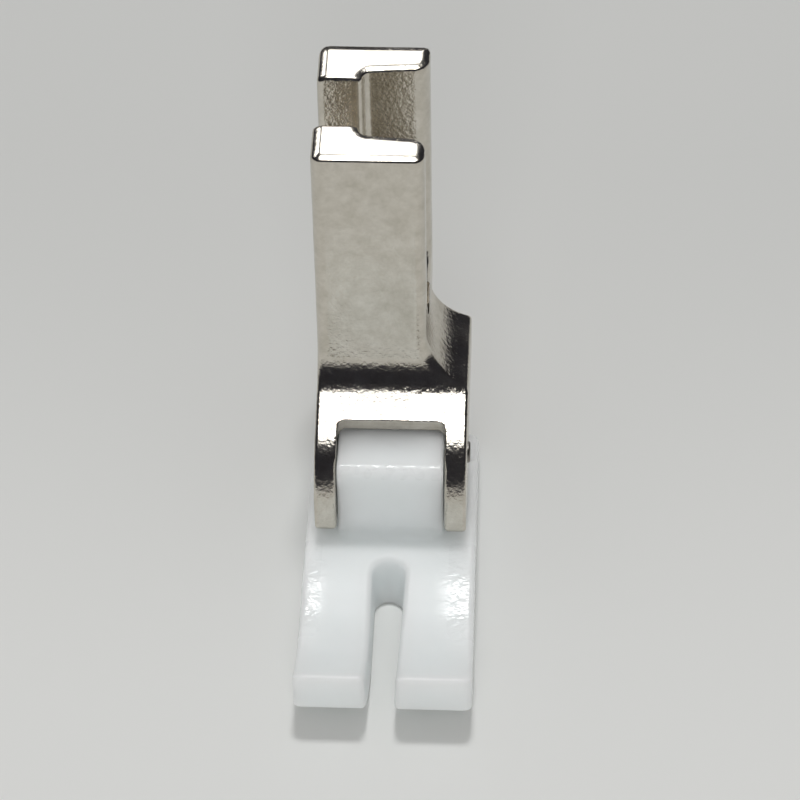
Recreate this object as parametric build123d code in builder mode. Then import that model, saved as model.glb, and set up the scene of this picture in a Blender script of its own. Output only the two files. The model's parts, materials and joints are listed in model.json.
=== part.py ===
from build123d import *
import math
import os

# Hinged presser foot: a plated cast shank, a moulded white sole and the pin that hinges them.
# It stands on its sole. +Z is up, the toes point to -Y, and the origin lies on the
# ground under the middle of the whole foot.

# Shank column, a channel that opens to +X and takes the presser bar
foot_height = 33.7
column_width = 8.0
column_depth = 12.2
column_setback = 4.3
web_thickness = 3.25
flange_root = 2.85
flange_tip = 2.45
channel_root_round = 0.6
channel_mouth_round = 1.1
flange_tip_round = 0.5
column_corner_round = 0.7
column_tail_rise = 3.8

# Clamp screw slot in the web, open at the top
screw_slot_width = 4.7
screw_height = 25.4

# Yoke and its two legs
pin_height = 8.8
yoke_rise = 3.2
yoke_width = 11.1
yoke_plate = 3.5
shoulder_depth = 6.8
shoulder_land = 0.4
foot_fillet = 2.0
leg_thickness = 1.6
leg_front = 4.5
leg_rear = 3.2
leg_nose_radius = 4.1
leg_relief = 0.8
stop_pad = 1.2
leg_heel_fillet = 1.5
window_corner_round = 0.35
window_rim_round = 0.2

# Sole
sole_width_toe = 12.75
sole_width_heel = 12.4
sole_thickness = 4.0
toe_thickness = 2.8
toe_reach = 18.85
heel_reach = 8.3
heel_edge = 2.0
heel_bevel_start = 3.45
toe_angle = 39.0
toe_under_radius = 9.3
dish_radius = 7.5
dish_start = 6.9
heel_corner_round = 1.0
toe_corner_round = 0.7
sole_rim_round = 0.4
needle_slot_width = 2.05
needle_slot_reach = 7.45
needle_slot_draft = 3.0
needle_slot_lean = 16.0

# Hinge post on the sole
post_front = 3.6
post_rise = 1.9
post_nose_round = 1.2
post_edge_round = 0.25

# Hinge pin
pin_radius = 0.8
pin_stickout = 0.2
pin_end_round = 0.15

# Fits and edge rounds
pin_clearance = 0.05
post_side_clearance = 0.2
post_top_clearance = 0.3
stop_gap = 0.05
cast_edge = 0.33
slot_round = 0.4
outline_round = 0.5

# Places worked out from the sizes
column_back = column_setback + column_depth
pin_y = (toe_reach - column_back) / 2
half_yoke = yoke_width / 2
column_left = -half_yoke
column_right = column_left + column_width
web_face = column_left + web_thickness
column_front_y = pin_y + column_setback
column_back_y = pin_y + column_back
column_mid_y = (column_front_y + column_back_y) / 2
yoke_top = pin_height + yoke_rise
yoke_under = yoke_top - yoke_plate
shoulder_back_y = column_front_y + shoulder_depth
shoulder_radius = half_yoke - column_right - shoulder_land
channel_floor = yoke_top + shoulder_radius
half_window = half_yoke - leg_thickness
half_post = half_window - post_side_clearance
pocket_radius = post_rise + post_top_clearance
leg_front_y = pin_y - leg_front
leg_rear_y = pin_y + leg_rear
leg_stop = sole_thickness + stop_gap
leg_toe = leg_stop + leg_relief
toe_y = pin_y - toe_reach
heel_y = pin_y + heel_reach
past = 1.0
near = 0.01

os.makedirs("parts", exist_ok=True)

# Shank: column, yoke, shoulder and legs cast as one piece
with BuildPart() as shank:
    # Shoulder and the hollow fillet at the foot of the column, seen from the front
    with BuildSketch(Plane.XZ.offset(-shoulder_back_y)):
        with BuildLine():
            Line((column_left, channel_floor), (column_left, yoke_under))
            Line((column_left, yoke_under), (half_yoke, yoke_under))
            Line((half_yoke, yoke_under), (half_yoke, yoke_top))
            Line((half_yoke, yoke_top), (half_yoke - shoulder_land, yoke_top))
            JernArc((half_yoke - shoulder_land, yoke_top), (-1, 0), shoulder_radius, -90)
            Line((column_right, channel_floor), (column_left, channel_floor))
        make_face()
    extrude(amount=shoulder_depth + foot_fillet)
    with BuildSketch(Plane.YZ):
        with BuildLine():
            foot = JernArc((column_front_y - foot_fillet, yoke_top), (1, 0), foot_fillet, 90)
            Polyline(
                foot @ 1,
                (column_front_y, foot_height),
                (column_front_y - foot_fillet - past, foot_height),
                (column_front_y - foot_fillet - past, yoke_top),
                foot @ 0,
            )
        make_face()
    extrude(amount=yoke_width, both=True, mode=Mode.SUBTRACT)

    # Yoke and legs, one side outline carried across the width
    with BuildSketch(Plane.YZ):
        with BuildLine():
            nose = JernArc((leg_front_y + leg_nose_radius, yoke_top), (-1, 0), leg_nose_radius, 90)
            Polyline(
                nose @ 1,
                (leg_front_y, leg_toe),
                (leg_rear_y - stop_pad, leg_stop),
                (leg_rear_y, leg_stop),
                (leg_rear_y, yoke_under),
                (shoulder_back_y, yoke_under),
                (shoulder_back_y, yoke_top),
                nose @ 0,
            )
        side = make_face()
        inner_corner = side.vertices().filter_by_position(Axis.X, leg_rear_y - near, leg_rear_y + near)
        fillet(inner_corner.sort_by(Axis.Y)[-1], leg_heel_fillet)
    extrude(amount=half_yoke, both=True)

    # Column stock, with its tail cut back behind the yoke
    with BuildSketch(Plane.XY.offset(yoke_under)):
        with BuildLine():
            Polyline(
                (column_left, column_front_y),
                (column_right, column_front_y),
                (column_right, column_back_y),
                (column_left, column_back_y),
                close=True,
            )
        stock = make_face()
        fillet(stock.vertices().group_by(Axis.X)[-1], flange_tip_round)
        fillet(stock.vertices().group_by(Axis.X)[0].sort_by(Axis.Y)[-1], column_corner_round)
    extrude(amount=foot_height - yoke_under)
    with BuildSketch(Plane.YZ):
        with BuildLine():
            Polyline(
                (column_back_y + past, yoke_under - past),
                (column_back_y + past, yoke_under + column_tail_rise),
                (column_back_y, yoke_under + column_tail_rise),
                (shoulder_back_y, yoke_under),
                (shoulder_back_y, yoke_under - past),
                close=True,
            )
        make_face()
    extrude(amount=yoke_width, both=True, mode=Mode.SUBTRACT)

    # Rounded outline edges down both sides, from the column's top and the shoulder to the toes of the legs
    left_outline = shank.edges().filter_by(
        lambda e: abs(e.center().X - column_left) < near
        and e.center().Z > leg_toe
        and (e.center().Z > yoke_top - near or e.center().Y < pin_y)
        and e.center().Y < column_front_y + near
    )
    fillet(left_outline, outline_round)
    right_outline = shank.edges().filter_by(
        lambda e: abs(e.center().X - half_yoke) < near
        and e.center().Z > leg_toe
        and (e.center().Z > yoke_top - near or e.center().Y < pin_y)
        and e.center().Y < shoulder_back_y - near
    )
    fillet(right_outline, cast_edge)

    # Presser bar channel with drafted walls and a rounded mouth
    with BuildSketch(Plane.XY.offset(channel_floor)):
        with BuildLine():
            Polyline(
                (web_face, column_front_y + flange_root),
                (column_right, column_front_y + flange_tip),
                (column_right, column_front_y),
                (column_right + past, column_front_y),
                (column_right + past, column_back_y),
                (column_right, column_back_y),
                (column_right, column_back_y - flange_tip),
                (web_face, column_back_y - flange_root),
                close=True,
            )
        channel = make_face()
        mouth = channel.vertices().filter_by_position(Axis.X, column_right - near, column_right + near)
        fillet(mouth.sort_by(Axis.Y)[1:-1], channel_mouth_round)
        fillet(channel.vertices().group_by(Axis.X)[0], channel_root_round)
    extrude(amount=foot_height - channel_floor, mode=Mode.SUBTRACT)

    # Screw slot through the web, open at the top
    with BuildSketch(Plane.YZ.offset(column_left)):
        with BuildLine():
            slot_floor = JernArc(
                (column_mid_y - screw_slot_width / 2, screw_height), (0, -1), screw_slot_width / 2, 180
            )
            Polyline(
                slot_floor @ 1,
                (column_mid_y + screw_slot_width / 2, foot_height),
                (column_mid_y - screw_slot_width / 2, foot_height),
                slot_floor @ 0,
            )
        make_face()
    extrude(amount=web_thickness, mode=Mode.SUBTRACT)
    slot_edges = shank.edges().filter_by(
        lambda e: abs(e.center().Y - column_mid_y) < screw_slot_width / 2 + near
        and e.center().Z > screw_height - screw_slot_width
        and e.center().Z < foot_height - near
        and e.center().X < web_face + near
        and abs(e.tangent_at(0.5).X) < near
    )
    fillet(slot_edges, slot_round)
    fillet(shank.edges().group_by(Axis.Z)[-1], cast_edge)

    # Window for the hinge post, round at the top about the pin
    with BuildSketch(Plane.YZ):
        with BuildLine():
            pocket = JernArc((pin_y, pin_height + pocket_radius), (1, 0), pocket_radius, -90)
            Polyline(
                pocket @ 1,
                (pin_y + pocket_radius, leg_stop - past),
                (leg_front_y - past, leg_stop - past),
                (leg_front_y - past, yoke_top + past),
                (pin_y, yoke_top + past),
                pocket @ 0,
            )
        make_face()
    extrude(amount=half_window, both=True, mode=Mode.SUBTRACT)

    window_corners = shank.edges().filter_by(Axis.Z).filter_by(
        lambda e: abs(abs(e.center().X) - half_window) < near and abs(e.center().Y - pin_y) < near
    )
    fillet(window_corners, window_corner_round)
    window_rim = shank.edges().filter_by(
        lambda e: abs(e.center().X) < half_window + near
        and e.center().Z > leg_toe + near
        and e.center().Y < pin_y + near
        and (e.center().Z > yoke_top - near or e.center().Y < pin_y - window_corner_round - near)
    )
    fillet(window_rim, window_rim_round)

    # Pressed seats of the hinge pin in both legs
    with BuildSketch(Plane.YZ):
        with Locations((pin_y, pin_height)):
            Circle(pin_radius)
    extrude(amount=half_yoke, both=True, mode=Mode.SUBTRACT)

shank.part.label = "shank"
export_step(shank.part, "parts/shank.step")

# Hinge pin, straight with rounded ends
with BuildPart() as hinge_pin:
    with BuildSketch(Plane.YZ):
        with Locations((pin_y, pin_height)):
            Circle(pin_radius)
    extrude(amount=half_yoke + pin_stickout, both=True)
    fillet(hinge_pin.edges().filter_by(GeomType.CIRCLE), pin_end_round)

hinge_pin.part.label = "hinge_pin"
export_step(hinge_pin.part, "parts/hinge_pin.step")

# Sole: a moulded plate with two upturned toes, a needle slot and the hinge post
dish_turn = math.degrees(math.acos(1 - (sole_thickness - toe_thickness) / (2 * dish_radius)))
toe_bend_y = toe_y + toe_under_radius * math.sin(math.radians(toe_angle))
toe_under = toe_under_radius * (1 - math.cos(math.radians(toe_angle)))

with BuildPart() as sole:
    with BuildSketch(Plane.YZ):
        with BuildLine():
            crest = JernArc((pin_y - dish_start, sole_thickness), (-1, 0), dish_radius, dish_turn)
            dish = JernArc(crest @ 1, crest % 1, dish_radius, -dish_turn - toe_angle)
            ramp_run = (dish @ 1).X - toe_y
            ramp_top = (dish @ 1).Y + ramp_run * math.tan(math.radians(toe_angle))
            under = JernArc((toe_bend_y, 0), (-1, 0), toe_under_radius, -toe_angle)
            Polyline(dish @ 1, (toe_y, ramp_top), under @ 1)
            Polyline(
                under @ 0,
                (heel_y, 0),
                (heel_y, heel_edge),
                (pin_y + heel_bevel_start, sole_thickness),
                crest @ 0,
            )
        make_face()
    extrude(amount=sole_width_toe, both=True)
    with BuildSketch(Plane.XY):
        with BuildLine():
            Polyline(
                (-sole_width_toe / 2, toe_y),
                (sole_width_toe / 2, toe_y),
                (sole_width_heel / 2, heel_y),
                (-sole_width_heel / 2, heel_y),
                close=True,
            )
        plan = make_face()
        fillet(plan.vertices().group_by(Axis.Y)[0], toe_corner_round)
        fillet(plan.vertices().group_by(Axis.Y)[-1], heel_corner_round)
    extrude(amount=foot_height, mode=Mode.INTERSECT)

    # Needle slot, open at the toes, wider at the top and leaning back at its inner end
    for level in (0, ramp_top + past):
        half_slot = needle_slot_width / 2 + level * math.tan(math.radians(needle_slot_draft))
        slot_end_y = pin_y - needle_slot_reach + level * math.tan(math.radians(needle_slot_lean))
        with BuildSketch(Plane.XY.offset(level)):
            with BuildLine():
                bow = JernArc((half_slot, slot_end_y - half_slot), (0, 1), half_slot, 180)
                Polyline(bow @ 1, (-half_slot, toe_y - past), (half_slot, toe_y - past), bow @ 0)
            make_face()
    loft(mode=Mode.SUBTRACT)

    # Rounded rim round the top, the slot and the ends of the toes
    rim = sole.edges().filter_by(lambda e: e.center().Z > heel_edge - near)
    fillet(rim, sole_rim_round)

    # Hinge post with the bore for the pin
    with BuildSketch(Plane.YZ):
        with BuildLine():
            crown = JernArc((pin_y, pin_height + post_rise), (1, 0), post_rise, -90)
            nose_start = pin_y - post_front + post_nose_round
            post_nose = JernArc((nose_start, pin_height + post_rise), (-1, 0), post_nose_round, 90)
            Line(crown @ 0, post_nose @ 0)
            Polyline(
                post_nose @ 1,
                (pin_y - post_front, sole_thickness - toe_thickness),
                (pin_y + post_rise, sole_thickness - toe_thickness),
                crown @ 1,
            )
        make_face()
    extrude(amount=half_post, both=True)
    post_front_edges = sole.edges().filter_by(
        lambda e: abs(abs(e.center().X) - half_post) < near
        and e.center().Z > sole_thickness + near
        and e.center().Y < pin_y
    )
    fillet(post_front_edges, post_edge_round)
    with BuildSketch(Plane.YZ):
        with Locations((pin_y, pin_height)):
            Circle(pin_radius + pin_clearance)
    extrude(amount=half_post, both=True, mode=Mode.SUBTRACT)

sole.part.label = "sole"
export_step(sole.part, "parts/sole.step")
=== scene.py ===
"""Looks of a hinged presser foot: a nickel-plated cast shank, a moulded white sole and a steel pin."""

import json
import logging
import math
from dataclasses import dataclass, field
from enum import Enum
from typing import Any, Callable

import bpy
import numpy as np
from mathutils import Matrix, Vector


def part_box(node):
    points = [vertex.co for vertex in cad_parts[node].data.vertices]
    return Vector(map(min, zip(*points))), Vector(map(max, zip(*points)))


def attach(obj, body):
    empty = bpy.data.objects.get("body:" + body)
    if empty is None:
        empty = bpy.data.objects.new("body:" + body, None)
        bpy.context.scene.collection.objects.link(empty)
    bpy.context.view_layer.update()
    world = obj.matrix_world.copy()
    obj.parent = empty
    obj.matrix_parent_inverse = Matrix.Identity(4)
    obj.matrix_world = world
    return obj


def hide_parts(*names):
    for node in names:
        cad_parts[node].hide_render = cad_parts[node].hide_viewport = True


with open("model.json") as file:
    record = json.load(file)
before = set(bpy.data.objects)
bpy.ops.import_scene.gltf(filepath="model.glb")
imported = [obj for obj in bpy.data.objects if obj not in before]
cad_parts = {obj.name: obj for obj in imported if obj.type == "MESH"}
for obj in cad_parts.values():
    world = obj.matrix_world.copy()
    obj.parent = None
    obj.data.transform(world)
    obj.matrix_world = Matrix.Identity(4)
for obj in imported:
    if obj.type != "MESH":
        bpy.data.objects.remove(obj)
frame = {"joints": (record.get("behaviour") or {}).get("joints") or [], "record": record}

Array = np.ndarray
Solid = Callable[[Array, Array, Array], Array]
Tree = bpy.types.NodeTree
Socket = bpy.types.NodeSocket

MM = 0.001
PHOTO_SIDE_PX = 800
LOG = logging.getLogger("presser_foot")

# Sockets of Blender's colour mix, which share their names with those of its other mixes.
MIX_SHARE, MIX_FIRST, MIX_SECOND, MIX_RESULT = 0, 6, 7, 2

# Shortest and longest wave of an uneven surface, as shares of its typical wave.
WAVE_SPREAD = (0.7, 1.5)


class Body(Enum):
    """Rigid bodies of the foot."""

    SHANK = "shank"
    SOLE = "sole"


class Slot(Enum):
    """Material slots of the record."""

    NICKEL = "nickel_plate"
    STEEL = "pin_steel"
    PLASTIC = "white_plastic"


def linear(hex_colour: str) -> tuple[float, float, float, float]:
    """Turn an sRGB hex colour into linear light.

    Args:
        hex_colour: six hex digits after a hash sign.

    Returns:
        Red, green, blue and an alpha of 1.
    """
    srgb = np.array([int(hex_colour[i : i + 2], 16) for i in (1, 3, 5)]) / 255
    value = np.where(srgb <= 0.04045, srgb / 12.92, ((srgb + 0.055) / 1.055) ** 2.4)
    return (float(value[0]), float(value[1]), float(value[2]), 1.0)


def add_node(tree: Tree, kind: str, inputs: dict[Any, Any] | None = None, **settings: Any) -> Any:
    """Add a node with its settings, and fill or link its sockets.

    Args:
        tree: the node tree that gets the node.
        kind: Blender's type name of the node.
        inputs: socket name or number to a plain value, or to the socket that feeds it.
        settings: the node's own properties.

    Returns:
        The new node.
    """
    node = tree.nodes.new(kind)
    for name, value in settings.items():
        setattr(node, name, value)
    for socket, value in (inputs or {}).items():
        if isinstance(value, Socket):
            tree.links.new(value, node.inputs[socket])
        else:
            node.inputs[socket].default_value = value
    return node


def new_material(name: str) -> tuple[bpy.types.Material, Tree]:
    """Make an empty node material.

    Args:
        name: the material's name.

    Returns:
        The material and its node tree.
    """
    material = bpy.data.materials.new(name)
    material.use_nodes = True
    material.node_tree.nodes.clear()
    return material, material.node_tree


def per_metre(period_mm: float) -> float:
    """Texture scale at which a pattern repeats about once in the given millimetres."""
    return 1 / (period_mm * MM)


def object_place(tree: Tree) -> Socket:
    """Add a socket that says where a point lies on its object."""
    return add_node(tree, "ShaderNodeTexCoord").outputs["Object"]


def mark_strength(tree: Tree, mark: str) -> Socket:
    """Add a socket that reads a named strength from the mesh."""
    return add_node(tree, "ShaderNodeAttribute", attribute_name=mark).outputs["Fac"]


def noise(tree: Tree, place: Socket, period_mm: float, **inputs: float) -> Socket:
    """Add a noise pattern of a real size.

    Args:
        tree: the node tree that gets the pattern.
        place: the socket that says where a point lies.
        period_mm: typical size of a spot, in mm.
        inputs: other sockets of the pattern, such as Detail.

    Returns:
        The socket with the pattern, from 0 to 1.
    """
    sockets = {"Vector": place, "Scale": per_metre(period_mm), **inputs}
    return add_node(tree, "ShaderNodeTexNoise", sockets).outputs["Fac"]


def stretch(tree: Tree, value: Socket, start: float, end: float, **settings: str) -> Socket:
    """Add a step that stretches a part of a pattern's range to 0 and 1.

    Args:
        tree: the node tree that gets the step.
        value: the socket with the pattern.
        start: pattern value that becomes 0.
        end: pattern value that becomes 1.
        settings: the node's own properties, such as its interpolation.

    Returns:
        The socket with the stretched pattern.
    """
    sockets = {"Value": value, "From Min": start, "From Max": end}
    return add_node(tree, "ShaderNodeMapRange", sockets, **settings).outputs["Result"]


def change(tree: Tree, share: Socket, first: float, second: float) -> Socket:
    """Add a step that goes from a first value to a second one as a share goes from 0 to 1.

    Args:
        tree: the node tree that gets the step.
        share: the socket with the share.
        first: value at a share of 0.
        second: value at a share of 1.

    Returns:
        The socket with the value.
    """
    sockets = {"Value": share, "To Min": first, "To Max": second}
    return add_node(tree, "ShaderNodeMapRange", sockets).outputs["Result"]


def blend(tree: Tree, share: Socket, first: str, second: str) -> Socket:
    """Add a blend of two colours.

    Args:
        tree: the node tree that gets the blend.
        share: the socket with the share of the second colour.
        first: sRGB hex colour at a share of 0.
        second: sRGB hex colour at a share of 1.

    Returns:
        The socket with the blended colour.
    """
    sockets = {MIX_SHARE: share, MIX_FIRST: linear(first), MIX_SECOND: linear(second)}
    return add_node(tree, "ShaderNodeMix", sockets, data_type="RGBA").outputs[MIX_RESULT]


def bump(tree: Tree, pattern: Socket, height_mm: float, strength: Socket | float) -> Socket:
    """Add relief that follows a pattern.

    Args:
        tree: the node tree that gets the relief.
        pattern: the socket with the heights, from 0 to 1.
        height_mm: height of the whole relief, in mm.
        strength: how much of it shows, from 0 to 1.

    Returns:
        The socket with the tilted normals.
    """
    sockets = {"Height": pattern, "Distance": height_mm * MM, "Strength": strength}
    return add_node(tree, "ShaderNodeBump", sockets).outputs["Normal"]


def add_surface(tree: Tree, sockets: dict[str, Any]) -> None:
    """Add the shader with its sockets and make it the material's surface.

    Args:
        tree: the material's node tree.
        sockets: the shader's socket names and what they get.
    """
    shader = add_node(tree, "ShaderNodeBsdfPrincipled", sockets)
    add_node(tree, "ShaderNodeOutputMaterial", {"Surface": shader.outputs["BSDF"]})


@dataclass(frozen=True)
class NickelPlate:
    """Bright nickel over a fine-grained casting.

    To the eye it is a warm mirror with faint mottling, whose reflections break up into specks at their
    edges.
    """

    name: str = "nickel_plated_casting"
    colour: str = "#dad5cb"
    dull_colour: str = "#c2bcb0"
    roughness: float = 0.14
    roughness_spread: float = 0.10
    grain_mm: float = 0.3
    grain_detail: float = 3.0
    grain_height_mm: float = 0.085
    mottle_mm: float = 1.1
    mottle_detail: float = 5.0
    mottle_roughness: float = 0.7
    mottle_range: tuple[float, float] = (0.3, 0.7)
    cloud_mm: float = 2.4
    cloud_detail: float = 3.0
    cloud_range: tuple[float, float] = (0.3, 0.75)
    mark: str = "cast_grain"

    def material(self) -> bpy.types.Material:
        """Build the plating.

        Returns:
            A metal with grain as strong as the mesh's mark says, mottled tone and soft clouds of gloss.
        """
        material, tree = new_material(self.name)
        place = object_place(tree)
        grain = noise(tree, place, self.grain_mm, Detail=self.grain_detail)
        mottle = noise(
            tree, place, self.mottle_mm, Detail=self.mottle_detail, Roughness=self.mottle_roughness
        )
        clouds = noise(tree, place, self.cloud_mm, Detail=self.cloud_detail)
        dulled = self.roughness + self.roughness_spread
        gloss = change(tree, stretch(tree, clouds, *self.cloud_range), self.roughness, dulled)
        tint = blend(tree, stretch(tree, mottle, *self.mottle_range), self.dull_colour, self.colour)
        relief = bump(tree, grain, self.grain_height_mm, mark_strength(tree, self.mark))
        add_surface(tree, {"Base Color": tint, "Metallic": 1.0, "Roughness": gloss, "Normal": relief})
        return material


@dataclass(frozen=True)
class PinSteel:
    """Plain ground steel: a darker grey metal with fine turning rings round the pin."""

    name: str = "ground_pin_steel"
    colour: str = "#8f8b86"
    ring_colour: str = "#7d7973"
    roughness: float = 0.3
    # Real grinding rings are finer: these are as fine as a picture of the pin can show.
    ring_mm: float = 0.12
    ring_detail: float = 2.0
    ring_height_mm: float = 0.002
    ring_waver: float = 1.5

    def material(self) -> bpy.types.Material:
        """Build the steel.

        Returns:
            A metal with rings along the pin's length.
        """
        material, tree = new_material(self.name)
        sockets = {
            "Vector": object_place(tree),
            "Scale": per_metre(self.ring_mm) / math.tau,
            "Distortion": self.ring_waver,
            "Detail": self.ring_detail,
        }
        rings = add_node(tree, "ShaderNodeTexWave", sockets, bands_direction="X").outputs["Fac"]
        tint = blend(tree, rings, self.ring_colour, self.colour)
        relief = bump(tree, rings, self.ring_height_mm, 1.0)
        add_surface(
            tree,
            {"Base Color": tint, "Metallic": 1.0, "Roughness": self.roughness, "Normal": relief},
        )
        return material


@dataclass(frozen=True)
class WhitePtfe:
    """Moulded white PTFE: cool, waxy and lit from within, satin, and glinting where it is rippled."""

    name: str = "moulded_white_ptfe"
    colour: str = "#f0f4f5"
    shade_colour: str = "#ebf0f0"
    refraction: float = 1.38
    satin_roughness: float = 0.44
    ripple_roughness: float = 0.13
    glow_weight: float = 1.0
    glow_mm: float = 2.4
    cloud_mm: float = 3.0
    cloud_detail: float = 2.0
    ripple_mm: float = 0.36
    ripple_length: float = 1.4
    ripple_detail: float = 1.0
    ripple_waver: float = 0.3
    ripple_height_mm: float = 0.06
    mark: str = "mould_ripple"

    def material(self) -> bpy.types.Material:
        """Build the plastic.

        Returns:
            A plastic with inner glow, whose gloss and ripples grow with the mesh's mark.
        """
        material, tree = new_material(self.name)
        place = object_place(tree)
        strength = mark_strength(tree, self.mark)
        clouds = noise(tree, place, self.cloud_mm, Detail=self.cloud_detail)
        longer = {0: place, 1: (1 / self.ripple_length, 1.0, 1.0)}
        drawn_out = add_node(tree, "ShaderNodeVectorMath", longer, operation="MULTIPLY").outputs["Vector"]
        ripple = noise(
            tree, drawn_out, self.ripple_mm, Detail=self.ripple_detail, Distortion=self.ripple_waver
        )
        add_surface(
            tree,
            {
                "Base Color": blend(tree, clouds, self.shade_colour, self.colour),
                "Roughness": change(tree, strength, self.satin_roughness, self.ripple_roughness),
                "IOR": self.refraction,
                "Subsurface Weight": self.glow_weight,
                "Subsurface Radius": (1.0, 1.0, 1.0),
                "Subsurface Scale": self.glow_mm * MM,
                "Normal": bump(tree, ripple, self.ripple_height_mm, strength),
            },
        )
        return material


@dataclass(frozen=True)
class PaleFloor:
    """Matt pale board that the foot stands on, with painted light falloff: paler in front, darker behind.
    """

    name: str = "matt_pale_board"
    # Painted light falloff: the lit front and the dimmer back of the floor.
    lit_front_colour: str = "#e7e8e6"
    dim_back_colour: str = "#d4d5d3"
    roughness: float = 0.9
    fade_start_mm: float = -25.0
    fade_end_mm: float = 45.0

    def material(self) -> bpy.types.Material:
        """Build the board.

        Returns:
            A matt surface whose painted light falloff fades from front to back.
        """
        material, tree = new_material(self.name)
        along = add_node(tree, "ShaderNodeSeparateXYZ", {"Vector": object_place(tree)}).outputs["Y"]
        start, end = self.fade_start_mm * MM, self.fade_end_mm * MM
        # Painted light falloff from the front of the board to its back.
        painted_falloff = stretch(tree, along, start, end, interpolation_type="SMOOTHSTEP")
        tint = blend(tree, painted_falloff, self.lit_front_colour, self.dim_back_colour)
        add_surface(tree, {"Base Color": tint, "Roughness": self.roughness})
        return material


@dataclass(frozen=True)
class DarkCard:
    """Matt dark card that stands round the set, so that the bright metal has dark bands to mirror."""

    name: str = "matt_dark_card"
    colour: str = "#484852"
    fleck_colour: str = "#41414b"
    roughness: float = 0.95
    fleck_mm: float = 40.0

    def material(self) -> bpy.types.Material:
        """Build the card.

        Returns:
            A matt dark surface with faint flecks.
        """
        material, tree = new_material(self.name)
        flecks = noise(tree, object_place(tree), self.fleck_mm)
        tint = blend(tree, flecks, self.colour, self.fleck_colour)
        add_surface(tree, {"Base Color": tint, "Roughness": self.roughness})
        return material


def round_max(first: Array, second: Array, radius: Array | float) -> Array:
    """Overlap of two solids, with a round edge where their faces meet.

    Both are signed distances, negative inside. Within one radius of both faces the distance is measured
    from the centre of a circle that touches both, and elsewhere it is the larger of the two.

    Args:
        first: signed distance of one solid.
        second: signed distance of the other.
        radius: radius of the round edge.

    Returns:
        The signed distance of the overlap.
    """
    corner = np.hypot(np.maximum(first + radius, 0.0), np.maximum(second + radius, 0.0))
    return np.minimum(np.maximum(first, second), -radius) + corner


def round_min(first: Array, second: Array, radius: Array | float) -> Array:
    """Sum of two solids, with a hollow fillet of the radius where they meet.

    Args:
        first: signed distance of one solid.
        second: signed distance of the other.
        radius: radius of the fillet.

    Returns:
        The signed distance of the sum.
    """
    return -round_max(-first, -second, radius)


def fade(past: Array, run: float) -> Array:
    """Share from 0 to 1 of a run, in mm, that lies behind each place."""
    return np.clip(past / run, 0.0, 1.0)


def waves(x: Array, y: Array, z: Array, period: float, seed: int, count: int = 10) -> Array:
    """Smooth unevenness between about -1 and 1.

    It is a sum of plane sine waves with scattered directions, lengths and phases.

    Args:
        x, y, z: places in mm.
        period: typical length of a wave, in mm.
        seed: seed of the directions and phases.
        count: how many waves are added.

    Returns:
        The height at each place.
    """
    draw = np.random.default_rng(seed)
    total = 0.0
    for _ in range(count):
        way = draw.normal(size=3)
        way *= math.tau / (period * draw.uniform(*WAVE_SPREAD)) / np.linalg.norm(way)
        total = total + np.sin(way[0] * x + way[1] * y + way[2] * z + draw.uniform(0, math.tau))
    return total / math.sqrt(count)


def cell_corners(value: Array, axes: list[Array], step: float) -> tuple[Array, Array]:
    """Place one corner in each grid cell that the surface crosses, at the mean of its edges' crossings.

    A crossing lies where a straight line between the distances at both ends of an edge is zero.

    Args:
        value: signed distances on the grid.
        axes: the grid's places along X, Y and Z, in mm.
        step: grid spacing in mm.

    Returns:
        The corners in mm, and each cell's corner number, or -1 where it has none.
    """
    cells = tuple(n - 1 for n in value.shape)
    whole = [slice(0, n) for n in cells]
    shifted = [slice(1, n + 1) for n in cells]

    def corner(bits: list[int]) -> tuple[slice, ...]:
        """Slices that read one corner of every cell."""
        return tuple(shifted[i] if bits[i] else whole[i] for i in range(3))

    total = np.zeros(cells + (3,))
    count = np.zeros(cells)
    for axis in range(3):
        others = [i for i in range(3) if i != axis]
        for bits in np.ndindex(2, 2):
            start = [0, 0, 0]
            start[others[0]], start[others[1]] = bits
            end = list(start)
            end[axis] = 1
            a, b = value[corner(start)], value[corner(end)]
            crossing = (a < 0) != (b < 0)
            share = np.where(crossing, a / np.where(crossing, a - b, 1.0), 0.0)
            for i in range(3):
                total[..., i] += np.where(crossing, share if i == axis else start[i], 0.0)
            count += crossing
    active = count > 0
    number = np.full(cells, -1, dtype=np.int64)
    number[active] = np.arange(int(active.sum()))
    base = np.stack([axes[i][index] for i, index in enumerate(np.nonzero(active))], axis=1)
    return base + step * total[active] / count[active][:, None], number


def crossing_quads(inside: Array, number: Array) -> Array:
    """Lay a quad across each grid edge that crosses the surface, between the four cells round it.

    Args:
        inside: whether each grid point lies in the solid.
        number: each cell's corner number.

    Returns:
        The quads, whose faces point outwards.
    """
    quads = []
    for axis in range(3):
        others = [(axis + 1) % 3, (axis + 2) % 3]
        one = [slice(1, -1)] * 3
        two = [slice(1, -1)] * 3
        one[axis], two[axis] = slice(0, -1), slice(1, None)
        first, second = inside[tuple(one)], inside[tuple(two)]
        where = np.nonzero(first != second)
        cell = np.stack(where, axis=1)
        cell[:, others] += 1
        ring = []
        for back in ((1, 1), (0, 1), (0, 0), (1, 0)):
            at = cell.copy()
            at[:, others] -= back
            ring.append(number[at[:, 0], at[:, 1], at[:, 2]])
        loop = np.stack(ring, axis=1)
        leaving = first[where]
        quads.append(np.where(leaving[:, None], loop, loop[:, ::-1]))
    return np.concatenate(quads)


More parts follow.
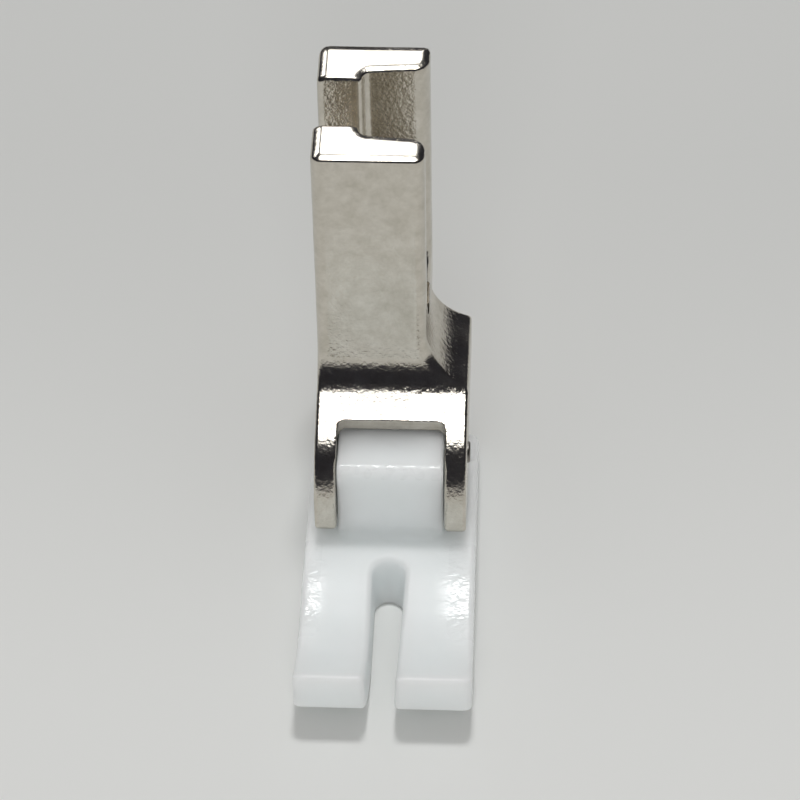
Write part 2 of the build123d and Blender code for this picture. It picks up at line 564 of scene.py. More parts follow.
def surface_net(solid: Solid, low: Array, high: Array, step: float) -> tuple[Array, Array]:
    """Skin a solid given by its signed distance with an even net of quads.

    The distance is sampled on a grid. Each cell that the surface crosses holds one corner, and each grid
    edge that crosses it gives one quad. The corners then slide along the distance's slope until they lie
    on the surface.

    Args:
        solid: signed distance of the solid, in mm.
        low: lowest corner of the space to search.
        high: highest corner of the space to search.
        step: grid spacing in mm.

    Returns:
        The corners in mm and the quads, whose faces point outwards.
    """
    steps_before, steps_after = 2.3, 3
    slides, flattest = 5, 0.25
    axes = [np.arange(low[i] - steps_before * step, high[i] + steps_after * step, step) for i in range(3)]
    value = solid(axes[0][:, None, None], axes[1][None, :, None], axes[2][None, None, :])
    value = np.broadcast_to(value, tuple(len(a) for a in axes))
    points, number = cell_corners(value, axes, step)
    for _ in range(slides):
        distance, slope = distance_and_slope(solid, points)
        length = np.maximum((slope**2).sum(axis=1), flattest)
        points = points - np.clip(distance / length, -step, step)[:, None] * slope
    return points, crossing_quads(value < 0, number)


def distance_and_slope(solid: Solid, points: Array) -> tuple[Array, Array]:
    """Signed distance at points and its slope, from central differences.

    Args:
        solid: signed distance of the solid, in mm.
        points: places in mm, one per row.

    Returns:
        The distances and one slope vector per point.
    """
    reach = 0.004
    x, y, z = points.T
    slope = np.stack(
        [
            solid(x + reach, y, z) - solid(x - reach, y, z),
            solid(x, y + reach, z) - solid(x, y - reach, z),
            solid(x, y, z + reach) - solid(x, y, z - reach),
        ],
        axis=1,
    )
    return solid(x, y, z), slope / (2 * reach)


def ring_quads(rings: int, sides: int) -> list[list[int]]:
    """Quads between neighbouring rings of corners, each ring closed on itself.

    Args:
        rings: how many rings there are.
        sides: corners in each ring.

    Returns:
        The corner numbers of each quad.
    """
    ring, side = np.indices((rings - 1, sides))
    start, end, after = ring * sides, (ring + 1) * sides, (side + 1) % sides
    quads = np.stack([start + side, end + side, end + after, start + after], axis=-1)
    return quads.reshape(-1, 4).tolist()


def make_piece(
    name: str,
    points: Array,
    faces: list[list[int]],
    material: bpy.types.Material,
    normals: Array | None = None,
    marks: dict[str, Array] | None = None,
) -> bpy.types.Object:
    """Put a surface into a smooth mesh object at the origin.

    Args:
        name: the piece's name.
        points: corners in mm.
        faces: corner numbers of each face.
        material: the piece's finish.
        normals: directions of the surface at the corners, if they are known better than from the faces.
        marks: named strengths from 0 to 1 at the corners, which the finish reads.

    Returns:
        The new object, linked to the scene.
    """
    mesh = bpy.data.meshes.new(name)
    mesh.from_pydata((points * MM).tolist(), [], faces)
    mesh.polygons.foreach_set("use_smooth", np.ones(len(mesh.polygons), dtype=bool))
    mesh.materials.append(material)
    mesh.update()
    for mark, values in (marks or {}).items():
        mesh.attributes.new(mark, "FLOAT", "POINT").data.foreach_set("value", values.astype(np.float32))
    if normals is not None:
        mesh.normals_split_custom_set_from_vertices(normals.tolist())
    piece = bpy.data.objects.new(name, mesh)
    bpy.context.scene.collection.objects.link(piece)
    return piece


def join_frame(piece: bpy.types.Object, node: str, body: Body) -> None:
    """Tie a piece to the frame: hide the node it stands for and hang the piece on the body it moves with.

    Args:
        piece: the new piece.
        node: the solid that it replaces.
        body: the body that carries it.
    """
    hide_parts(node)
    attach(piece, body.value)
    corners = len(piece.data.vertices)
    LOG.info("%s: %d corners, stands for %s on %s", piece.name, corners, node, body.value)


def box_mm(node: str) -> tuple[Array, Array]:
    """Lowest and highest corner of a frame node, in mm."""
    low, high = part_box(node)
    return np.array(low) / MM, np.array(high) / MM


def mount_mm(name: str) -> Array:
    """Place of one of the record's mounts, in mm."""
    mounts = {mount["name"]: mount for mount in frame["record"]["mounts"]}
    return np.array(mounts[name]["pos_m"]) / MM


def direction(azimuth: float, elevation: float) -> Vector:
    """Unit vector away from the foot.

    Args:
        azimuth: degrees round from the front, towards the right.
        elevation: degrees up from the floor.

    Returns:
        The direction.
    """
    turn, rise = math.radians(azimuth), math.radians(elevation)
    return Vector((math.sin(turn) * math.cos(rise), -math.cos(turn) * math.cos(rise), math.sin(rise)))


@dataclass
class Hinge:
    """The hinge line, read from the frame's joint, and the pin's sizes in mm."""

    y: float = frame["joints"][0]["pos_m"][1] / MM
    z: float = frame["joints"][0]["pos_m"][2] / MM
    pin_radius: float = 0.8
    clearance: float = 0.05

    def distance(self, y: Array, z: Array) -> Array:
        """Distance from the hinge line."""
        return np.hypot(y - self.y, z - self.z)


@dataclass(frozen=True)
class CastGrain:
    """Strength of the cast grain on the faces of the shank, from 0 to 1, and its limits, in mm.

    The ground tops are nearly smooth, and the screw slot, which no polishing reached, is the coarsest.
    """

    top: float = 0.015
    slot: float = 1.0
    shoulder: float = 0.5
    channel: float = 0.45
    face: float = 0.16
    lower_face: float = 0.16
    foot: float = 0.2
    toe: float = 0.45
    top_depth: float = 0.04
    slot_reach: float = 0.15
    slot_outer_inset: float = 0.5
    slot_inner_inset: float = 0.8
    shoulder_inset: float = 0.8
    shoulder_depth: float = 0.5
    channel_margin: float = 0.1
    channel_inset: float = 1.0
    lower_start: float = 2.0
    lower_run: float = 5.0
    foot_start: float = 2.0
    foot_run: float = 3.0
    toe_start: float = 1.0
    toe_run: float = 1.5


@dataclass
class Shank:
    """The cast shank: channel column, shoulder, yoke and two legs, with soft cast edges.

    Sizes are in mm and angles in degrees. Forms are signed distances, negative inside.
    """

    hinge: Hinge
    finish: NickelPlate = NickelPlate()
    grain: CastGrain = CastGrain()
    step: float = 0.15
    column_width: float = 8.0
    column_depth: float = 12.2
    flange_root: float = 2.85
    flange_tip: float = 2.45
    channel_root_round: float = 0.6
    channel_mouth_round: float = 1.1
    channel_floor_fillet: float = 1.3
    channel_floor_rise: float = 9.0
    column_corner_round: float = 0.85
    column_back_round: float = 0.5
    column_draft: float = 1.5
    sweep_start: float = 18.5
    foot_sweep: float = 0.014
    top_bevel: float = 0.45
    top_bevel_tilt: float = 19.0
    top_round: float = 0.13
    top_blend: float = 0.12
    top_round_left: float = 0.85
    top_round_right: float = 0.55
    tail_rise: float = 3.8
    slot_radius: float = 2.35
    slot_round: float = 0.4
    yoke_rise: float = 3.2
    yoke_plate: float = 3.5
    shoulder_depth: float = 6.8
    shoulder_land: float = 0.4
    shoulder_radius: float = 4.05
    shoulder_reach: float = 5.265
    shoulder_drop: float = 0.15
    shoulder_slope: float = 5.5
    foot_fillet: float = 1.42
    leg_thickness: float = 1.6
    leg_rear: float = 3.2
    yoke_slope: float = 20.0
    leg_nose_radius: float = 3.35
    leg_relief: float = 0.8
    leg_toe_round: float = 0.35
    leg_heel_fillet: float = 1.5
    stop_pad: float = 1.2
    window_corner_round: float = 0.6
    window_rim_round: float = 0.05
    leg_rim_round: float = 0.3
    rim_change_start: float = 0.3
    rim_change_run: float = 2.4
    pocket_radius: float = 2.2
    cast_edge: float = 0.33
    yoke_edge: float = 0.25
    wave_period: float = 3.2
    wave_height: float = 0.004
    wave_seed: int = 11
    low: Array = field(default_factory=lambda: box_mm("shank")[0])
    high: Array = field(default_factory=lambda: box_mm("shank")[1])

    def __post_init__(self) -> None:
        """Work out the places that several forms share."""
        self.half_yoke = self.high[0]
        self.column_right = self.low[0] + self.column_width
        self.web_face = mount_mm("bar_seat")[0]
        self.screw_z = mount_mm("screw_slot")[2]
        self.column_front = self.high[1] - self.column_depth
        self.column_mid = self.high[1] - self.column_depth / 2
        self.yoke_top = self.hinge.z + self.yoke_rise
        self.yoke_under = self.yoke_top - self.yoke_plate
        self.shoulder_back = self.column_front + self.shoulder_depth
        self.channel_floor = self.yoke_top + self.half_yoke - self.column_right - self.shoulder_land

    def front_face(self, y: Array, z: Array) -> Array:
        """Front face of the column, which leans by the casting draft and sweeps out at its foot.

        Args:
            y, z: places in mm.

        Returns:
            The signed distance.
        """
        lean = math.tan(math.radians(self.column_draft))
        sweep = self.foot_sweep * np.maximum(self.sweep_start - z, 0.0) ** 2
        return self.column_front - (self.high[2] - z) * lean - sweep - y

    def over_yoke(self, y: Array, z: Array) -> Array:
        """Top of the yoke, a plane through the window's edge that slopes down to the front.

        Args:
            y, z: places in mm.

        Returns:
            The signed distance.
        """
        slope = math.radians(self.yoke_slope)
        return (z - self.yoke_top) * math.cos(slope) - (y - self.hinge.y) * math.sin(slope)

    def over_shoulder(self, y: Array, z: Array) -> Array:
        """Floor of the shoulder's flare, which falls slightly towards the back.

        Args:
            y, z: places in mm.

        Returns:
            The signed distance.
        """
        rise = (self.shoulder_back - y) * math.tan(math.radians(self.shoulder_slope))
        return z - self.yoke_top + self.shoulder_drop - rise

    def screw_slot(self, y: Array, z: Array) -> Array:
        """Round-ended screw slot, open at the top: the distance from its middle line, less its radius."""
        return np.hypot(y - self.column_mid, np.minimum(z - self.screw_z, 0.0)) - self.slot_radius

    def channel(self, x: Array, y: Array, z: Array) -> Array:
        """Presser bar channel: drafted walls, rounds at the web and a floor that rises outwards.

        Args:
            x, y, z: places in mm.

        Returns:
            The signed distance.
        """
        draft = (self.flange_root - self.flange_tip) / (self.column_right - self.web_face)
        half_channel = self.column_depth / 2 - self.flange_root + draft * (x - self.web_face)
        wall = (np.abs(y - self.column_mid) - half_channel) / math.hypot(1, draft)
        plan = round_max(wall, self.web_face - x, self.channel_root_round)
        rise = math.radians(self.channel_floor_rise)
        floor = (self.channel_floor - z) * math.cos(rise) + (x - self.web_face) * math.sin(rise)
        return round_max(plan, floor, self.channel_floor_fillet)

    def column(self, x: Array, y: Array, z: Array) -> Array:
        """Column with its channel and screw slot.

        Its plan is a rectangle with round corners, less the channel above its filleted floor. The top has
        a narrow bevel and large rounds at its left and right ends. A sloped plane cuts the tail, and the
        screw slot is cut through the web.

        Args:
            x, y, z: places in mm.

        Returns:
            The signed distance.
        """
        across = x - (self.low[0] + self.column_right) / 2
        back_right = (across > 0) & (y > self.column_mid)
        radius = np.where(back_right, self.column_back_round, self.column_corner_round)
        past_x = np.abs(across) - self.column_width / 2
        past_y = np.maximum(self.front_face(y, z), y - self.high[1])
        plan = round_max(past_x, past_y, radius)
        prongs = round_max(plan, -self.channel(x, y, z), self.channel_mouth_round)
        over = z - self.high[2]
        tilt = math.radians(self.top_bevel_tilt)
        bevel = over * math.cos(tilt) + (prongs + self.top_bevel) * math.sin(tilt)
        cap = round_max(over, self.low[0] - self.top_round - x, self.top_round_left)
        cap = round_max(cap, x - self.column_right - self.top_round, self.top_round_right)
        column = round_max(prongs, round_max(cap, bevel, self.top_blend), self.top_round)
        tail_run = self.high[1] - self.shoulder_back
        tail = (y - self.shoulder_back) * self.tail_rise - (z - self.yoke_under) * tail_run
        tail = tail / math.hypot(tail_run, self.tail_rise)
        column = round_max(column, np.maximum(tail, self.yoke_under - z), self.cast_edge)
        return round_max(column, -self.screw_slot(y, z), self.slot_round)

    def yoke(self, x: Array, y: Array, z: Array) -> Array:
        """Yoke and legs: one side outline carried across the width.

        A large round joins the sloped top to the front, a fillet joins the legs' rear to the plate's
        underside, and the underside of the legs slopes up from flat stop pads at the rear.

        Args:
            x, y, z: places in mm.

        Returns:
            The signed distance.
        """
        over = np.maximum(self.over_yoke(y, z), self.over_shoulder(y, z))
        front = round_max(over, self.low[1] - y, self.leg_nose_radius)
        leg_rear_y = self.hinge.y + self.leg_rear
        plate = np.maximum(y - self.shoulder_back, self.yoke_under - z)
        rear = round_min(y - leg_rear_y, plate, self.leg_heel_fillet)
        slope = self.leg_relief / (leg_rear_y - self.stop_pad - self.low[1])
        sloped = (self.low[2] + self.leg_relief - slope * (y - self.low[1]) - z) / math.hypot(1, slope)
        under = np.maximum(sloped, self.low[2] - z)
        outline = round_max(round_max(front, under, self.leg_toe_round), rear, self.cast_edge)
        return round_max(outline, np.abs(x) - self.half_yoke, self.yoke_edge)

    def shoulder(self, x: Array, y: Array, z: Array) -> Array:
        """Shoulder between the column and the yoke.

        Seen from the front it is a hollow flare from the column to the yoke's right side, and seen from
        the side a hollow fillet from the yoke's top to the column's front. The channel is kept clear.

        Args:
            x, y, z: places in mm.

        Returns:
            The signed distance.
        """
        flare = round_min(x - self.column_right, self.over_shoulder(y, z), self.shoulder_radius)
        foot = round_min(self.front_face(y, z), self.over_yoke(y, z), self.foot_fillet)
        rise = fade(z - self.yoke_top, 2 * self.foot_fillet)
        edge = self.yoke_edge + (self.column_corner_round - self.yoke_edge) * rise
        block = round_max(flare, foot, edge)
        block = round_max(block, x - self.half_yoke, self.yoke_edge)
        block = round_max(block, self.low[0] - x, edge)
        block = round_max(block, y - self.shoulder_back, self.cast_edge)
        reach = self.hinge.y + self.foot_fillet / 2 - y
        top = z - self.yoke_top - self.shoulder_reach
        ends = np.maximum(np.maximum(reach, self.yoke_under - z), top)
        channel = np.maximum(self.channel(x, y, z), x - self.column_right)
        return np.maximum(np.maximum(block, ends), -channel)

    def window(self, x: Array, y: Array, z: Array) -> Array:
        """Opening between the legs, with a round pocket about the pin at its back.

        Args:
            x, y, z: places in mm.

        Returns:
            The signed distance.
        """
        behind = y - self.hinge.y - self.pocket_radius
        above = z - self.hinge.z - self.pocket_radius
        pocket = round_max(behind, above, self.pocket_radius)
        opening = np.minimum(y - self.hinge.y, pocket)
        half_window = self.half_yoke - self.leg_thickness
        return round_max(opening, np.abs(x) - half_window, self.window_corner_round)

    def distance(self, x: Array, y: Array, z: Array) -> Array:
        """Whole casting: its forms added, the window and the pin's seats cut, and a slight wave.

        Args:
            x, y, z: places in mm.

        Returns:
            The signed distance.
        """
        body = np.minimum(self.column(x, y, z), np.minimum(self.yoke(x, y, z), self.shoulder(x, y, z)))
        down_leg = fade(self.yoke_top - self.rim_change_start - z, self.rim_change_run)
        rim = self.window_rim_round + (self.leg_rim_round - self.window_rim_round) * down_leg
        body = round_max(body, -self.window(x, y, z), rim)
        body = np.maximum(body, self.hinge.pin_radius - self.hinge.distance(y, z))
        return body + self.wave_height * waves(x, y, z, self.wave_period, self.wave_seed)

    def grain_strength(self, x: Array, y: Array, z: Array) -> Array:
        """Strength of the cast grain at places on the surface.

        On the faces it grows down the column, again at the column's foot and towards the legs' toes. The
        tops, the screw slot, the shoulder and the channel each have their own.

        Args:
            x, y, z: places in mm.

        Returns:
            The strengths, from 0 to 1.
        """
        grain = self.grain
        on_top = z > self.high[2] - grain.top_depth
        in_slot = self.screw_slot(y, z) < grain.slot_reach
        in_slot &= x > self.low[0] + grain.slot_outer_inset
        in_slot &= x < self.web_face - grain.slot_inner_inset
        on_shoulder = x > self.column_right + grain.shoulder_inset
        on_shoulder &= z > self.yoke_top - grain.shoulder_depth
        in_channel = x > self.web_face - grain.channel_margin
        in_channel &= (y > self.column_front + grain.channel_inset) & (z > self.yoke_top)
        lower = fade(self.screw_z + grain.lower_start - z, grain.lower_run)
        at_foot = fade(self.channel_floor + grain.foot_start - z, grain.foot_run)
        on_toe = fade(self.hinge.z - grain.toe_start - z, grain.toe_run)
        faces = grain.face + grain.lower_face * lower + grain.foot * at_foot + grain.toe * on_toe
        return np.select(
            [on_top, in_slot, on_shoulder, in_channel],
            [grain.top, grain.slot, grain.shoulder, grain.channel],
            faces,
        )

    def build(self) -> None:
        """Skin, dress and mount the casting."""
        points, faces = surface_net(self.distance, self.low, self.high, self.step)
        slope = distance_and_slope(self.distance, points)[1]
        marks = {self.finish.mark: self.grain_strength(*points.T)}
        piece = make_piece("shank_casting", points, faces.tolist(), self.finish.material(), slope, marks)
        join_frame(piece, "shank", Body.SHANK)


@dataclass(frozen=True)
class MouldRipple:
    """Strength of the glossy ripple on the sole, from 0 to 1, and its limits, in mm.

    It runs along both sides of the dish, lies in patches on the post's nose and is faint on the toes' lips.
    """

    side: float = 0.75
    right_start: float = 3.2
    right_run: float = 1.6
    left_start: float = 4.3
    left_run: float = 0.9
    crest_start: float = 2.3
    crest_run: float = 1.2
    dish_end: float = 8.7
    dish_run: float = 2.5
    nose_depth: float = 1.1
    nose_depth_run: float = 0.4
    nose_start: float = 3.0
    nose_run: float = 0.3
    toe: float = 0.4
    toe_reach: float = 0.9
    toe_run: float = 0.8
    toe_height_run: float = 1.0
    patch_level: float = 0.45
    patch_contrast: float = 0.9
    patch_period: float = 0.8
    patch_seed: int = 23


@dataclass
class Sole:
    """The moulded sole: a plate with two upturned toes, a needle slot and the hinge post.

    Sizes are in mm and angles in degrees. Forms are signed distances, negative inside.
    """

    hinge: Hinge
    finish: WhitePtfe = WhitePtfe()
    ripple: MouldRipple = MouldRipple()
    step: float = 0.13
    width_toe: float = 12.75
    width_heel: float = 12.4
    thickness: float = 4.0
    heel_edge: float = 2.0
    heel_bevel_start: float = 3.45
    toe_angle: float = 40.5
    toe_under_angle: float = 39.0
    toe_under_radius: float = 9.3
    crest_radius: float = 12.5
    dish_radius: float = 9.0
    dish_fall: float = 17.0
    dish_start: float = 6.175
    heel_corner_round: float = 1.0
    toe_corner_round: float = 0.7
    rim_round: float = 0.4
    toe_rim_round: float = 0.42
    toe_rim_reach: float = 1.6
    foot_round: float = 0.2
    slot_width: float = 2.05
    slot_reach: float = 7.45
    slot_draft: float = 3.0
    slot_lean: float = 16.0
    slot_skew: float = 1.6
    post_half_width: float = 3.87
    post_front: float = 3.85
    post_rise: float = 1.9
    post_foot_fillet: float = 0.8
    post_nose_round: float = 0.75
    post_edge_round: float = 0.25
    wave_period: float = 0.7
    wave_height: float = 0.0012
    wave_seed: int = 5
    flat_foot: float = 0.3
    flat_foot_run: float = 0.8
    low: Array = field(default_factory=lambda: box_mm("sole")[0])
    high: Array = field(default_factory=lambda: box_mm("sole")[1])

    def top(self, y: Array) -> Array:
        """Height of the plate's top: heel bevel, flat, a crest arc, a dish arc and the straight toe ramp.

        Args:
            y: places along Y, in mm.

        Returns:
            The heights.
        """
        fall = math.radians(self.dish_fall)
        crest_y = self.hinge.y - self.dish_start
        turn_y = crest_y - self.crest_radius * math.sin(fall)
        dish_y = turn_y - self.dish_radius * math.sin(fall)
        dish_z = self.thickness - (self.crest_radius + self.dish_radius) * (1 - math.cos(fall))
        ramp = math.radians(self.toe_angle)
        ramp_y = dish_y - self.dish_radius * math.sin(ramp)
        ramp_z = dish_z + self.dish_radius * (1 - math.cos(ramp))
        bevel_y = self.hinge.y + self.heel_bevel_start
        bevel_slope = (self.thickness - self.heel_edge) / (self.high[1] - bevel_y)

        def arc(radius: float, centre: float) -> Array:
            """Drop of a circle below its top, at a distance from its centre line."""
            return radius - np.sqrt(np.maximum(radius**2 - (y - centre) ** 2, 0.0))

        return np.select(
            [y > bevel_y, y > crest_y, y > turn_y, y > ramp_y],
            [
                self.thickness - bevel_slope * (y - bevel_y),
                np.full_like(y, self.thickness),
                self.thickness - arc(self.crest_radius, crest_y),
                dish_z + arc(self.dish_radius, dish_y),
            ],
            ramp_z + (ramp_y - y) * math.tan(ramp),
        )

    def under(self, y: Array) -> Array:
        """Height of the underside: flat, then an arc up to the toes.

        Args:
            y: places along Y, in mm.

        Returns:
            The heights.
        """
        bend_y = self.low[1] + self.toe_under_radius * math.sin(math.radians(self.toe_under_angle))
        run = np.minimum(y - bend_y, 0.0)
        return self.toe_under_radius - np.sqrt(np.maximum(self.toe_under_radius**2 - run**2, 0.0))

    def plate(self, x: Array, y: Array, z: Array) -> Array:
        """Plate: a tapered plan between the top and the underside, less the needle slot.

        Heights are turned into distances by the cosine of their slope.

        Args:
            x, y, z: places in mm.

        Returns:
            The signed distance.
        """
        reach = 0.01
        top, under = self.top(y), self.under(y)
        top_slope = (self.top(y + reach) - self.top(y - reach)) / (2 * reach)
        under_slope = (self.under(y + reach) - self.under(y - reach)) / (2 * reach)
        above = (z - top) / np.hypot(1, top_slope)
        below = (under - z) / np.hypot(1, under_slope)
        length = self.high[1] - self.low[1]
        taper = (self.width_heel - self.width_toe) / length
        half_width = (self.width_toe + taper * (y - self.low[1])) / 2
        ends = np.maximum(self.low[1] - y, y - self.high[1])
        corner = np.where(y < 0, self.toe_corner_round, self.heel_corner_round)
        plan = round_max(np.abs(x) - half_width, ends, corner)
        past_toe = fade(y - self.low[1] - self.toe_rim_reach, self.toe_rim_reach)
        rim = self.toe_rim_round + (self.rim_round - self.toe_rim_round) * past_toe
        plate = round_max(round_max(plan, above, rim), below, self.foot_round)
        draft = math.tan(math.radians(self.slot_draft))
        half_slot = self.slot_width / 2 + z * draft
        bow_y = self.hinge.y - self.slot_reach + z * math.tan(math.radians(self.slot_lean)) - half_slot
        skew = np.where(x > 0, math.tan(math.radians(self.slot_skew)), 0.0) * np.maximum(bow_y - y, 0.0)
        slot = np.hypot(x, np.maximum(y - bow_y, 0.0)) - half_slot + skew
        return round_max(plate, -slot, rim)

    def post(self, x: Array, y: Array, z: Array) -> Array:
        """Hinge post: round over the pin at its back and rounded at its nose.

        Args:
            x, y, z: places in mm.

        Returns:
            The signed distance.
        """
        over = z - self.high[2]
        nose = round_max(over, self.hinge.y - self.post_front - y, self.post_nose_round)
        crown = round_max(over, y - self.hinge.y - self.post_rise, self.post_rise)
        side = np.maximum(np.maximum(nose, crown), self.heel_edge - z)
        return round_max(side, np.abs(x) - self.post_half_width, self.post_edge_round)

    def distance(self, x: Array, y: Array, z: Array) -> Array:
        """Whole sole: plate and post joined by a fillet, largest in front, the bore cut, and a slight wave.

        Args:
            x, y, z: places in mm.

        Returns:
            The signed distance.
        """
        before = fade(self.hinge.y - self.post_front + self.foot_round - y, self.foot_round)
        between = fade(self.post_half_width - np.abs(x), self.post_foot_fillet)
        fillet = self.foot_round + (self.post_foot_fillet - self.foot_round) * before * between
        body = round_min(self.plate(x, y, z), self.post(x, y, z), fillet)
        bore = self.hinge.pin_radius + self.hinge.clearance - self.hinge.distance(y, z)
        off_floor = fade(z - self.flat_foot, self.flat_foot_run)
        wave = self.wave_height * off_floor * waves(x, y, z, self.wave_period, self.wave_seed)
        return np.maximum(body, bore) + wave

    def ripple_strength(self, x: Array, y: Array, z: Array) -> Array:
        """Strength of the glossy ripple at places on the surface: on the dish, the nose and the lips.

        Args:
            x, y, z: places in mm.

        Returns:
            The strengths, from 0 to 1.
        """
        ripple = self.ripple
        crest_y = self.hinge.y - self.dish_start
        right = fade(x - ripple.right_start, ripple.right_run)
        left = fade(-x - ripple.left_start, ripple.left_run)
        before_crest = fade(crest_y + ripple.crest_start - y, ripple.crest_run)
        in_dish = fade(y - crest_y + ripple.dish_end, ripple.dish_run)
        sides = ripple.side * np.maximum(right, left) * before_crest * in_dish
        high_up = fade(z - self.high[2] + ripple.nose_depth, ripple.nose_depth_run)
        nose = high_up * fade(self.hinge.y - ripple.nose_start - y, ripple.nose_run)
        at_toe = fade(self.low[1] + ripple.toe_reach - y, ripple.toe_run)
        lips = ripple.toe * at_toe * fade(z - self.thickness, ripple.toe_height_run)
        patches = ripple.patch_contrast * waves(x, y, z, ripple.patch_period, ripple.patch_seed)
        patches = np.clip(ripple.patch_level + patches, 0.0, 1.0)
        return np.maximum(np.maximum(sides, lips), patches * nose)

    def build(self) -> None:
        """Skin, dress and mount the sole."""
        points, faces = surface_net(self.distance, self.low, self.high, self.step)
        slope = distance_and_slope(self.distance, points)[1]
        marks = {self.finish.mark: self.ripple_strength(*points.T)}
        piece = make_piece("sole_moulding", points, faces.tolist(), self.finish.material(), slope, marks)
        join_frame(piece, "sole", Body.SOLE)


@dataclass
class HingePin:
    """The hinge pin: a straight pin with rounded ends. Sizes are in mm."""

    hinge: Hinge
    finish: PinSteel = PinSteel()
    end_round: float = 0.15
    left_inset: float = 0.2
    sides: int = 64
    round_steps: int = 6
    low: Array = field(default_factory=lambda: box_mm("hinge_pin")[0])
    high: Array = field(default_factory=lambda: box_mm("hinge_pin")[1])

    def build(self) -> None:
        """Turn the pin's half outline round the hinge line.

        Each outline point becomes a ring of sines and cosines, and a flat cap closes each end.
        """
        angle = np.linspace(0, math.pi / 2, self.round_steps)
        flat = self.hinge.pin_radius - self.end_round
        end_x = self.high[0] - self.end_round + self.end_round * np.cos(angle)
        end_r = flat + self.end_round * np.sin(angle)
        left_x = self.low[0] + self.left_inset + self.high[0] - end_x[::-1]
        outline_x = np.concatenate([[self.high[0]], end_x, left_x, [self.low[0] + self.left_inset]])
        outline_r = np.concatenate([[flat / 2], end_r, end_r[::-1], [flat / 2]])
        turn = np.arange(self.sides) * math.tau / self.sides
        x = np.repeat(outline_x, self.sides)
        y = self.hinge.y + np.outer(outline_r, np.cos(turn)).ravel()
        z = self.hinge.z + np.outer(outline_r, np.sin(turn)).ravel()
        rings = len(outline_x)
        quads = ring_quads(rings, self.sides)
        corners = list(range(rings * self.sides))
        caps = [corners[: self.sides], corners[: -self.sides - 1 : -1]]
        points = np.stack([x, y, z], axis=1)
        piece = make_piece("hinge_pin_steel", points, quads + caps, self.finish.material())
        join_frame(piece, "hinge_pin", Body.SHANK)


@dataclass
class PhotoCamera:
    """A long lens at the photograph's viewing angle. Angles are in degrees and lengths in mm."""

    elevation: float = 46.63
    azimuth: float = 3.21
    roll: float = -1.158
    focal_px: float = 3505.8
    distance: float = 253.5
    target: tuple[float, float, float] = (0.658, 1.175, 14.206)
    sensor: float = 36.0
    near_clip: float = 10.0

    def build(self) -> None:
        """Place the camera: back towards the lens, right level with the floor, then turned by the roll."""
        turn, roll = math.radians(self.azimuth), math.radians(self.roll)
        back = direction(self.azimuth, self.elevation)
        level = Vector((math.cos(turn), math.sin(turn), 0.0))
        up = back.cross(level)
        right = level * math.cos(roll) + up * math.sin(roll)
        upright = up * math.cos(roll) - level * math.sin(roll)
        lens = bpy.data.cameras.new("photo_camera")
        lens.sensor_width = self.sensor
        lens.lens = self.focal_px / PHOTO_SIDE_PX * self.sensor
        lens.clip_start = self.near_clip * MM
        camera = bpy.data.objects.new("photo_camera", lens)
        place = (Vector(self.target) + back * self.distance) * MM
        turn_matrix = Matrix((right, upright, back)).transposed().to_4x4()
        camera.matrix_world = Matrix.Translation(place) @ turn_matrix
        bpy.context.scene.collection.objects.link(camera)
        bpy.context.scene.camera = camera
        LOG.info("camera at %s", tuple(round(v, 4) for v in place))


@dataclass(frozen=True)
class SoftBox:
    """A flat soft light that faces the foot. Angles are in degrees and lengths in mm."""

    name: str
    azimuth: float
    elevation: float
    distance: float
    width: float
    height: float
    radiance: float
    in_diffuse: bool = True
    in_gloss: bool = True

    def build(self) -> None:
        """Place the light on a sphere round the foot; its power is radiance times pi times its area."""
        back = direction(self.azimuth, self.elevation)
        light = bpy.data.lights.new(self.name, "AREA")
        light.shape = "RECTANGLE"
        light.size, light.size_y = self.width * MM, self.height * MM
        light.energy = self.radiance * math.pi * light.size * light.size_y
        lamp = bpy.data.objects.new(self.name, light)
        lamp.location = back * self.distance * MM
        lamp.rotation_mode = "QUATERNION"
        lamp.rotation_quaternion = back.to_track_quat("Z", "Y")
        lamp.visible_camera = False
        lamp.visible_diffuse = self.in_diffuse
        lamp.visible_glossy = self.in_gloss
        bpy.context.scene.collection.objects.link(lamp)


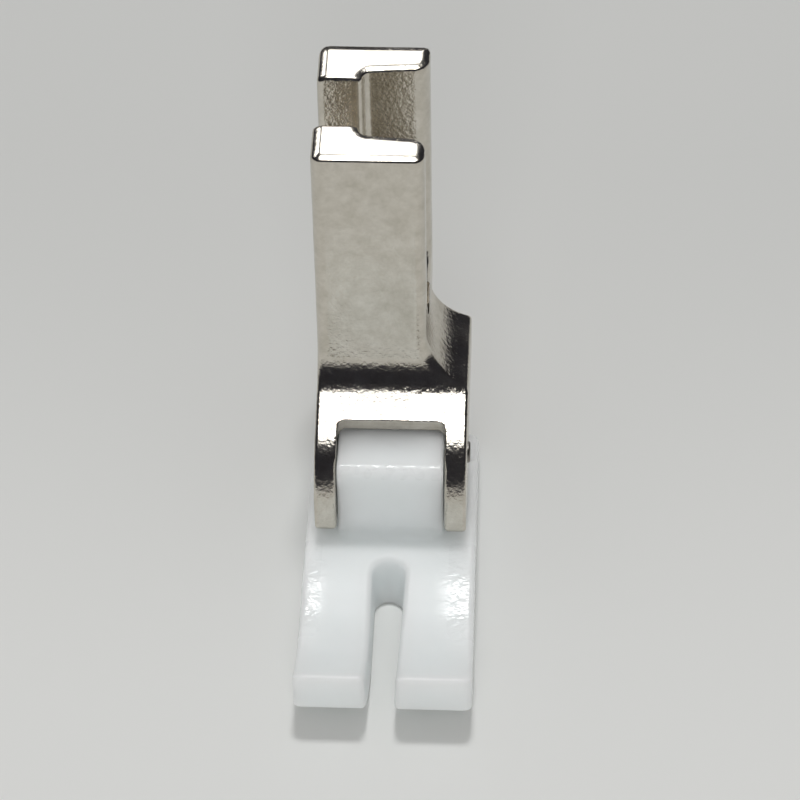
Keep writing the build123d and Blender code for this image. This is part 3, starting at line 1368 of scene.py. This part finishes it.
@dataclass
class Studio:
    """Floor, even fill, soft lights, and a dome of dark card that only the gloss mirrors.

    Lengths are in mm and angles in degrees.
    """

    floor: PaleFloor = PaleFloor()
    card: DarkCard = DarkCard()
    floor_side: float = 6000.0
    dome_radius: float = 800.0
    dome_foot: float = 3.0
    dome_front_foot: float = 8.0
    dome_front_focus: int = 4
    dome_top: float = 89.0
    dome_rings: int = 24
    dome_sides: int = 48
    fill_colour: str = "#a6a5a4"
    boxes: tuple[SoftBox, ...] = (
        SoftBox(
            "key_box",
            azimuth=178.0,
            elevation=77.5,
            distance=420.0,
            width=54.0,
            height=42.0,
            radiance=80.0,
        ),
        SoftBox(
            "front_box",
            azimuth=0.0,
            elevation=35.0,
            distance=600.0,
            width=220.0,
            height=140.0,
            radiance=6.6,
            in_gloss=False,
        ),
        SoftBox(
            "low_strip",
            azimuth=181.0,
            elevation=44.0,
            distance=520.0,
            width=200.0,
            height=298.0,
            radiance=3.2,
            in_diffuse=False,
        ),
        SoftBox(
            "high_strip",
            azimuth=181.0,
            elevation=85.0,
            distance=520.0,
            width=240.0,
            height=280.0,
            radiance=3.2,
            in_diffuse=False,
        ),
        SoftBox(
            "side_box",
            azimuth=217.0,
            elevation=33.0,
            distance=520.0,
            width=160.0,
            height=165.0,
            radiance=3.2,
            in_diffuse=False,
        ),
    )

    def build(self) -> None:
        """Lay the floor, raise the dome, fill the room with even light and hang the lights."""
        half = self.floor_side / 2
        corners = half * np.array([[-1, -1, 0], [1, -1, 0], [1, 1, 0], [-1, 1, 0]])
        make_piece("floor", corners, [[0, 1, 2, 3]], self.floor.material())
        self.dome()
        world = bpy.data.worlds.new("even_fill")
        world.use_nodes = True
        world.node_tree.nodes.clear()
        sockets = {"Color": linear(self.fill_colour), "Strength": 1.0}
        fill = add_node(world.node_tree, "ShaderNodeBackground", sockets)
        add_node(world.node_tree, "ShaderNodeOutputWorld", {"Surface": fill.outputs["Background"]})
        bpy.context.scene.world = world
        for box in self.boxes:
            box.build()
            LOG.info("light %s", box.name)

    def dome(self) -> bpy.types.Object:
        """Stand the dark card round the set.

        It is rings of a sphere from near the floor to the top, cut higher in front.

        Returns:
            The dome, which neither the camera nor diffuse light nor shadows see.
        """
        turn = np.arange(self.dome_sides) * math.tau / self.dome_sides
        in_front = np.clip(-np.sin(turn), 0.0, 1.0) ** self.dome_front_focus
        foot = self.dome_foot + (self.dome_front_foot - self.dome_foot) * in_front
        ring = np.radians(np.linspace(foot, self.dome_top, self.dome_rings))
        side = np.broadcast_to(turn, ring.shape)
        ways = [np.cos(ring) * np.cos(side), np.cos(ring) * np.sin(side), np.sin(ring)]
        points = self.dome_radius * np.stack(ways, axis=-1).reshape(-1, 3)
        faces = ring_quads(self.dome_rings, self.dome_sides)
        dome = make_piece("dark_card_dome", points, faces, self.card.material())
        dome.visible_camera = False
        dome.visible_diffuse = False
        dome.visible_shadow = False
        dome.visible_transmission = False
        dome.visible_volume_scatter = False
        return dome


def main() -> None:
    """Build every piece round the frame, then the studio and the camera, and note the sizes."""
    logging.basicConfig(level=logging.INFO, format="%(name)s: %(message)s")
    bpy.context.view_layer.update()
    hinge = Hinge()
    Shank(hinge).build()
    HingePin(hinge).build()
    Sole(hinge).build()
    Studio().build()
    PhotoCamera().build()
    bpy.context.scene.view_settings.view_transform = "Standard"


if __name__ == "__main__":
    main()
